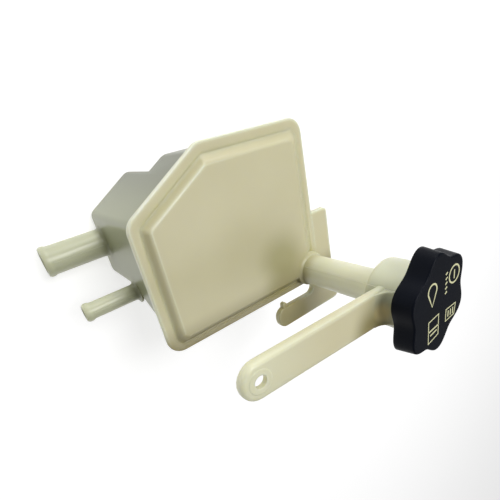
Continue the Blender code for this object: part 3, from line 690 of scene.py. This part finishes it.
# %% Sweep a ridge along a spiral
def build_thread_tree(material):
    """A tapering ridge of a given radius along a spiral about the vertical."""
    tree, sizes = start_tree(
        "screw ridge",
        {"Radius": 15.0 * MM, "Pitch": 4.0 * MM, "Turns": 1.25, "Start angle": 0.6, "Ridge": 1.0 * MM,
         "Axis X": 0.0, "Axis Y": 0.0, "Start height": 0.0},
    )
    work = partial(math_node, tree)
    line = add_node(tree, "GeometryNodeCurvePrimitiveLine", {"End": (0.0, 0.0, 1.0)}).outputs["Curve"]
    fine = add_node(tree, "GeometryNodeResampleCurve", {"Curve": line, "Count": 120}).outputs["Curve"]
    share = add_node(tree, "GeometryNodeSplineParameter").outputs["Factor"]
    turns = work("MULTIPLY", share, sizes["Turns"])
    angle = work("ADD", work("MULTIPLY", turns, 2 * math.pi), sizes["Start angle"])
    spot = {}
    for axis, function in (("X", "COSINE"), ("Y", "SINE")):
        reach = work("MULTIPLY", work(function, angle), sizes["Radius"])
        spot[axis] = work("ADD", reach, sizes["Axis " + axis])
    spot["Z"] = work("ADD", work("MULTIPLY", turns, sizes["Pitch"]), sizes["Start height"])
    place = add_node(tree, "ShaderNodeCombineXYZ", spot).outputs[0]
    spiral = add_node(tree, "GeometryNodeSetPosition", {"Geometry": fine, "Position": place})
    upright = add_node(
        tree, "GeometryNodeSetCurveNormal", {"Curve": spiral.outputs["Geometry"]}, mode="Z_UP"
    )
    near_end = work("MINIMUM", share, work("SUBTRACT", 1.0, share))
    thin = work("MAXIMUM", work("MINIMUM", work("MULTIPLY", near_end, 12.0), 1.0), 0.15)
    fade = add_node(
        tree, "GeometryNodeSetCurveRadius", {"Curve": upright.outputs["Curve"], "Radius": thin}
    )
    ridge = sweep(tree, fade.outputs["Curve"], round_section(tree, sizes["Ridge"], 8))
    return end_tree(tree, ridge, material)


def screw_ridge(name, material, radius, height):
    """A thread ridge at a radius, starting at a height above the rim, both in millimetres."""
    start = {"Start height": RIM_Z + height * MM, "Axis X": FOOT.x, "Axis Y": FOOT.y}
    return run_tree(name, build_thread_tree(material), {"Radius": radius * MM, **start})


finish(screw_ridge("plug_thread", cap_black, 14.6, 70.5), "cap", "cap_plastic")
finish(screw_ridge("collar_thread", natural_cover, 15.8, 72.5), "reservoir", "cover_plastic")

# %% [markdown]
# ## The print on the cap
#
# Pale marks are printed on the cap's top. They are plain shapes here: a ring with a short pointer
# and a row of dashes beside it, a drop outline, a divided frame and a barred frame. Each is a thin
# flat band of ink along a path. The tree below sweeps any path into such a band, so every mark is
# only a list of points, and the ring's dashes are one short band that the tree repeats.

# %% A tree for bands of ink
INK_HEIGHT = CAP_TOP - 0.03
INK_THICKNESS = 0.06 * MM


def path_mesh(name, lines, closed=False):
    """A mesh of edges from lists of (x, y, z) in millimetres from the neck's foot."""
    mesh = bpy.data.meshes.new(name)
    shape = bmesh.new()
    for line in lines:
        points = [shape.verts.new(from_neck(*point)) for point in line]
        for first, second in zip(points, points[1:]):
            shape.edges.new((first, second))
        if closed:
            shape.edges.new((points[-1], points[0]))
    shape.to_mesh(mesh)
    shape.free()
    return mesh


def build_band_tree(capped):
    """A flat band of ink along the edges of the mesh it is given."""
    tree, sizes = start_tree("ink band", {"Width": 0.9 * MM, "Thickness": INK_THICKNESS})
    path = add_node(tree, "GeometryNodeMeshToCurve", {"Mesh": sizes["Geometry"]}).outputs["Curve"]
    upright = add_node(tree, "GeometryNodeSetCurveNormal", {"Curve": path}, mode="Z_UP")
    flat = {"Width": sizes["Width"], "Height": sizes["Thickness"]}
    section = add_node(tree, "GeometryNodeCurvePrimitiveQuadrilateral", flat)
    band = sweep(tree, upright.outputs["Curve"], section.outputs["Curve"], capped)
    return end_tree(tree, band, cap_ink)


print("ink lies", round(CAP_TOP - INK_HEIGHT, 2), "mm under the top of the cap's box")

# %% [markdown]
# Each mark is a list of points in millimetres from the cap's axis. The drop is most of a circle and
# a tip, and the frames have four corners each.

# %% The outlines
def print_marks(name, lines, closed):
    """Ink along lists of (x, y) on the cap's top, each a closed outline or an open bar."""
    path = path_mesh(name + "_path", [[(x, y, INK_HEIGHT) for x, y in line] for line in lines], closed)
    finish(run_tree(name, build_band_tree(not closed), {}, path), "cap", "cap_plastic")


def arc(centre_x, centre_y, radius, start, sweep_angle, steps):
    """Points on part of a circle in millimetres, angles in degrees."""
    angles = [math.radians(start + sweep_angle * step / steps) for step in range(steps + 1)]
    return [(centre_x + radius * math.cos(a), centre_y + radius * math.sin(a)) for a in angles]


ring = arc(12.8, 11.4, 4.6, 0, 360, 40)[:-1]
drop = [(-6.3, 1.7), *arc(-6.3, 10.3, 3.6, -35, 250, 32)]
divided_frame = [(-9.0, -18.6), (-0.2, -16.9), (-0.2, -5.1), (-9.0, -6.0)]
barred_frame = [(6.4, -13.0), (14.6, -12.4), (15.6, -6.2), (6.6, -6.2)]
print_marks("cap_print_outlines", [ring, drop, divided_frame, barred_frame], closed=True)

# %% [markdown]
# The bars in the frames and the pointer in the ring are open paths, so their bands have ends, which
# the sweep closes. The dashes are equal and evenly spaced, so they are one card on a line of points.

# %% Bars, dashes and the ring's short pointer
frame_bars = [[(x - 0.1, -11.4), (x, -7.7)] for x in (8.8, 11.0, 13.2)]
dividers = [[(-9.0, -11.9), (-0.2, -11.2)], [(-7.4, -14.4), (-1.6, -13.6)]]
pointer = [(12.8, 8.8), (12.8, 13.6)]
print_marks("cap_print_bars", [*frame_bars, *dividers, pointer], closed=False)


def build_dash_tree():
    """A row of equal dashes, one small card repeated along a line."""
    tree, sizes = start_tree(
        "row of dashes", {"Dashes": 5, "Spacing": 2.6 * MM, "Length": 1.9 * MM, "Width": 0.9 * MM}
    )
    step = add_node(tree, "ShaderNodeCombineXYZ", {"Y": sizes["Spacing"]}).outputs[0]
    row = add_node(
        tree, "GeometryNodeMeshLine",
        {"Count": sizes["Dashes"], "Start Location": from_neck(5.7, 4.0, INK_HEIGHT), "Offset": step},
    )
    size = {"X": sizes["Length"], "Y": sizes["Width"], "Z": INK_THICKNESS}
    card = add_node(
        tree, "GeometryNodeMeshCube", {"Size": add_node(tree, "ShaderNodeCombineXYZ", size).outputs[0]}
    )
    slant = (0.0, 0.0, math.radians(28))
    repeat = add_node(
        tree, "GeometryNodeInstanceOnPoints",
        {"Points": row.outputs["Mesh"], "Instance": card.outputs["Mesh"], "Rotation": slant},
    )
    return end_tree(tree, repeat.outputs["Instances"], cap_ink)


dashes = run_tree("cap_print_dashes", build_dash_tree(), {})
finish(dashes, "cap", "cap_plastic")

# %% [markdown]
# ## The weld and the parting lines
#
# The cover is hot-plate welded to the tub, and a little plastic is squeezed out all round. The mould
# halves leave fine raised lines along the neck, the collar and the nipples. Both are a round bead
# along a path. One tree sweeps them and makes the bead uneven with a fixed noise.

# %% A tree for raised beads
def build_bead_tree(material):
    """A round bead along the edges it is given, its thickness varied by a noise."""
    tree, sizes = start_tree(
        "raised bead", {"Bead": 0.3 * MM, "Unevenness": 0.4, "Step": 0.8 * MM, "Seed": 3}
    )
    work = partial(math_node, tree)
    path = add_node(tree, "GeometryNodeMeshToCurve", {"Mesh": sizes["Geometry"]}).outputs["Curve"]
    even = add_node(
        tree, "GeometryNodeResampleCurve", {"Curve": path, "Length": sizes["Step"]}, mode="LENGTH"
    )
    noise = add_node(
        tree, "ShaderNodeTexNoise", {"Scale": 160.0, "W": sizes["Seed"]}, noise_dimensions="4D"
    )
    away = work("SUBTRACT", noise.outputs["Fac"], 0.5)
    change = work("MULTIPLY", work("MULTIPLY", away, sizes["Unevenness"]), 2.0)
    swell = add_node(
        tree, "GeometryNodeSetCurveRadius",
        {"Curve": even.outputs["Curve"], "Radius": work("ADD", change, 1.0)},
    )
    bead = sweep(tree, swell.outputs["Curve"], round_section(tree, sizes["Bead"], 8))
    return end_tree(tree, bead, material)


print("bead tree ready")

# %% [markdown]
# The weld's path is the cover's outline: five sides with rounded corners. Each side is known by the
# direction it faces in degrees and its distance from the neck's axis in millimetres, and each
# corner's centre is where two sides, both moved in by the corner's radius, would cross.

# %% The squeezed bead of the weld
SIDES = [(0.0, 9.1), (90.0, 92.8), (120.8, 110.8), (180.0, 106.9), (270.0, 9.7)]


def cover_outline(inset, corner, height, steps=8):
    """The cover's outline in millimetres from the neck's foot, moved in by an inset."""
    points = []
    for index, (angle, reach) in enumerate(SIDES):
        next_angle, next_reach = SIDES[(index + 1) % len(SIDES)]
        a, b = math.radians(angle), math.radians(next_angle)
        first, second = reach - inset - corner, next_reach - inset - corner
        cross = math.sin(b - a)
        x = (first * math.sin(b) - second * math.sin(a)) / cross
        y = (math.cos(a) * second - math.cos(b) * first) / cross
        turn = (b - a) % (2 * math.pi)
        for step in range(steps + 1):
            here = a + turn * step / steps
            points.append((x + corner * math.cos(here), y + corner * math.sin(here), height))
    return points


weld = run_tree(
    "weld_bead", build_bead_tree(natural_cover),
    {"Bead": 0.42 * MM, "Unevenness": 0.5, "Step": 1.2 * MM, "Seed": 4},
    path_mesh("weld_line", [cover_outline(1.15, 7.9, -2.15)], closed=True),
)
finish(weld, "reservoir", "cover_plastic")

# %% [markdown]
# The neck's parting line runs up the side that faces the nipples, over the collar's shoulder and on
# to the lip, and again on the far side. The nipples are parted along their upper and lower sides.
# Each line lies 0.02 mm inside the wall, so the bead is half sunk in it.

# %% The parting lines
SUNK = 0.02


def neck_line(degrees):
    """A line up the neck and the collar at one angle about the axis."""
    neck, collar = 9.8 - SUNK, 18.3 - SUNK
    shoulder = [(15.7, 57.95), (17.55, 58.7)]
    profile = [(neck, 6.0), (neck, 57.9), *shoulder, (collar, 60.6), (collar, 77.4)]
    angle = math.radians(degrees)
    return [(r * math.cos(angle), r * math.sin(angle), z) for r, z in profile]


def nipple_lines(end_x, root_x, y, z, radius):
    """The lines along a nipple's lower and upper sides."""
    return [[(x, y, z + side * (radius - SUNK)) for x in (end_x, root_x)] for side in (-1, 1)]


cover_seams = run_tree(
    "neck_parting_lines", build_bead_tree(cover_seam_painted_highlight), {"Bead": 0.12 * MM},
    path_mesh("cover_lines", [neck_line(146), neck_line(326)]),
)
finish(cover_seams, "reservoir", "cover_plastic")
big_nipple = nipple_lines(-135.6, -105.5, 45.0, -76.3, 9.0)
small_nipple = nipple_lines(-130.0, -105.3, 18.4, -41.3, 5.0)
tub_seams = run_tree(
    "nipple_parting_lines", build_bead_tree(tub_seam_painted_highlight), {"Bead": 0.07 * MM},
    path_mesh("tub_lines", big_nipple + small_nipple),
)
finish(tub_seams, "reservoir", "tub_plastic")

# %% [markdown]
# ## The strainer's mesh
#
# Inside the cage over the outlet is a sleeve of fine mesh. It is a crossing of hoops and long
# threads, so one tree repeats a hoop along a line and a thread round a circle. The hoops lie
# outside the threads, and the two touch.

# %% Weave the sleeve
screen_low, screen_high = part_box("strainer_screen")
THREAD_RADIUS = 0.11 * MM
SLEEVE_GAP = 0.2 * MM


def build_sleeve_tree():
    """Hoops along X and threads round them, both swept from curves."""
    tree, sizes = start_tree(
        "woven sleeve",
        {"Hoops": 22, "Threads": 36, "Length": 20.0 * MM, "Radius": 6.25 * MM, "Thread": THREAD_RADIUS},
    )
    section = round_section(tree, sizes["Thread"], 6)
    hoop = round_section(tree, math_node(tree, "ADD", sizes["Radius"], THREAD_RADIUS), 48)
    reach = add_node(tree, "ShaderNodeCombineXYZ", {"Z": sizes["Length"]}).outputs[0]
    thread = add_node(tree, "GeometryNodeCurvePrimitiveLine", {"End": reach}).outputs["Curve"]
    stack = add_node(
        tree, "GeometryNodeMeshLine", {"Count": sizes["Hoops"], "Offset": reach}, mode="END_POINTS"
    )
    inside = math_node(tree, "SUBTRACT", sizes["Radius"], THREAD_RADIUS)
    circle = add_node(tree, "GeometryNodeMeshCircle", {"Vertices": sizes["Threads"], "Radius": inside})
    hoop_mesh, thread_mesh = sweep(tree, hoop, section, capped=False), sweep(tree, thread, section)
    both = add_node(tree, "GeometryNodeJoinGeometry")
    for points, shape in ((stack, hoop_mesh), (circle, thread_mesh)):
        feeds = {"Points": points.outputs["Mesh"], "Instance": shape}
        repeat = add_node(tree, "GeometryNodeInstanceOnPoints", feeds)
        feed(tree, both, {"Geometry": repeat.outputs["Instances"]})
    middle = (screen_low + screen_high) / 2
    lay = {
        "Geometry": both.outputs["Geometry"],
        "Rotation": (0.0, math.pi / 2, 0.0),
        "Translation": (screen_low.x + SLEEVE_GAP, middle.y, middle.z),
    }
    return end_tree(tree, add_node(tree, "GeometryNodeTransform", lay).outputs["Geometry"], mesh_thread)


sleeve_length = screen_high.x - screen_low.x - 2 * SLEEVE_GAP
sleeve = run_tree("strainer_sleeve", build_sleeve_tree(), {"Length": sleeve_length})
finish(sleeve, "reservoir", "strainer_mesh", "strainer_screen")

# %% [markdown]
# The helpers left every node at the same spot in its editor. This cell sets each tree out in
# columns, so that it can be read from left to right when the file is opened.

# %% Lay the node trees out
COLUMN, ROW = 220, 260


def lay_out(tree):
    """Sets a tree's nodes in columns, each to the left of the nodes that it feeds."""
    column = {node.name: 0 for node in tree.nodes}
    for _ in tree.nodes:
        for link in tree.links:
            behind = column[link.to_node.name] + 1
            column[link.from_node.name] = max(column[link.from_node.name], behind)
    filled = {}
    for node in tree.nodes:
        place = column[node.name]
        node.location = (-COLUMN * place, -ROW * filled.get(place, 0))
        filled[place] = filled.get(place, 0) + 1


plastics = [natural_cover, natural_tub, cap_black, strainer_white, seal_rubber]
plastics += [cap_ink, mesh_thread, cover_seam_painted_highlight, tub_seam_painted_highlight]
trees = [*bpy.data.node_groups, *(plastic.node_tree for plastic in plastics)]
for tree in trees:
    lay_out(tree)
print(len(trees), "node trees laid out")

# %% [markdown]
# ## The studio
#
# The photograph was taken on white, with large soft lights above and behind the camera. The pale
# floor lies under the sump and glows a little, as a lit sheet of paper does, so shadows are faint.

# %% The floor
FLOOR_SIZE = 6.0
FLOOR_Z = cad_low[2] - 0.6 * MM


def build_floor():
    """A plain pale floor under the object."""
    mesh = bpy.data.meshes.new("studio_floor")
    signs = ((-1, -1), (1, -1), (1, 1), (-1, 1))
    corners = [(x * FLOOR_SIZE, y * FLOOR_SIZE, FLOOR_Z) for x, y in signs]
    mesh.from_pydata(corners, [], [(0, 1, 2, 3)])
    material = bpy.data.materials.new("studio white")
    material.use_nodes = True
    feed(material.node_tree, material.node_tree.nodes["Principled BSDF"], {
        "Base Color": (0.58, 0.58, 0.58, 1.0),
        "Roughness": 0.9,
        "Specular IOR Level": 0.1,
        "Emission Color": (1.0, 1.0, 1.0, 1.0),
        "Emission Strength": 0.63,
    })
    floor = add_object("studio_floor", mesh, material)


build_floor()
print("floor at", round(FLOOR_Z / MM, 1), "mm")

# %% [markdown]
# The camera was found by matching the cover's corners, the nipples and the neck. Its axes are given
# as three directions in the model's frame, and its focal length in pixels of a 500 pixel picture.

# %% The camera
RIGHT = Vector((0.78284, -0.19767, 0.58999))
UP = Vector((0.41650, 0.87091, -0.26085))
BACK = Vector((-0.46227, 0.44994, 0.76411))
STAND = Vector((-0.05537, 0.09499, 0.0990))
FOCAL_PIXELS, PICTURE_PIXELS = 362.7, 500.0
camera_data = bpy.data.cameras.new("photo_camera")
camera_data.sensor_width = 36.0
camera_data.lens = camera_data.sensor_width * FOCAL_PIXELS / PICTURE_PIXELS
camera_data.shift_x = -0.0036
camera_data.shift_y = 0.094
camera_data.clip_start = 10 * MM
camera = bpy.data.objects.new("photo_camera", camera_data)
bpy.context.scene.collection.objects.link(camera)
camera.matrix_world = Matrix.Translation(STAND) @ Matrix((RIGHT, UP, BACK)).transposed().to_4x4()
bpy.context.scene.camera = camera
print("camera", round((STAND - FOOT).length, 3), "m from the neck's foot")

# %% [markdown]
# As the camera sees it, the key lamp is behind it on the right and gives the broad light on the
# panel. The rim lamp is above the picture and lights the upper edges. The third and weakest is on
# the right, and reaches the far sides of the cap and the collar. All three are large, so their
# shadows are soft.

# %% The lamps and the light all round
LAMPS = {
    # place in metres, size in metres, power in watts
    "key": ((0.10, 0.40, 0.80), 0.40, 5.2),
    "rim": ((0.24, 0.80, 0.14), 0.40, 2.6),
    "over": ((0.40, -0.24, 0.66), 0.48, 1.25),
}
LIT_PLACE = Vector((0.03, 0.03, -0.07))
for name, (place, size, power) in LAMPS.items():
    data = bpy.data.lights.new(name, "AREA")
    data.shape = "SQUARE"
    data.size = size
    data.energy = power
    lamp = bpy.data.objects.new(name, data)
    bpy.context.scene.collection.objects.link(lamp)
    lamp.location = place
    lamp.rotation_euler = (LIT_PLACE - Vector(place)).to_track_quat("-Z", "Y").to_euler()
bpy.context.scene.view_settings.view_transform = "Standard"
world = bpy.data.worlds.new("studio")
bpy.context.scene.world = world
world.use_nodes = True
sky = world.node_tree.nodes["Background"]
feed(world.node_tree, sky, {"Color": (1.0, 1.0, 1.0, 1.0), "Strength": 0.24})
print("lamps:", list(LAMPS))
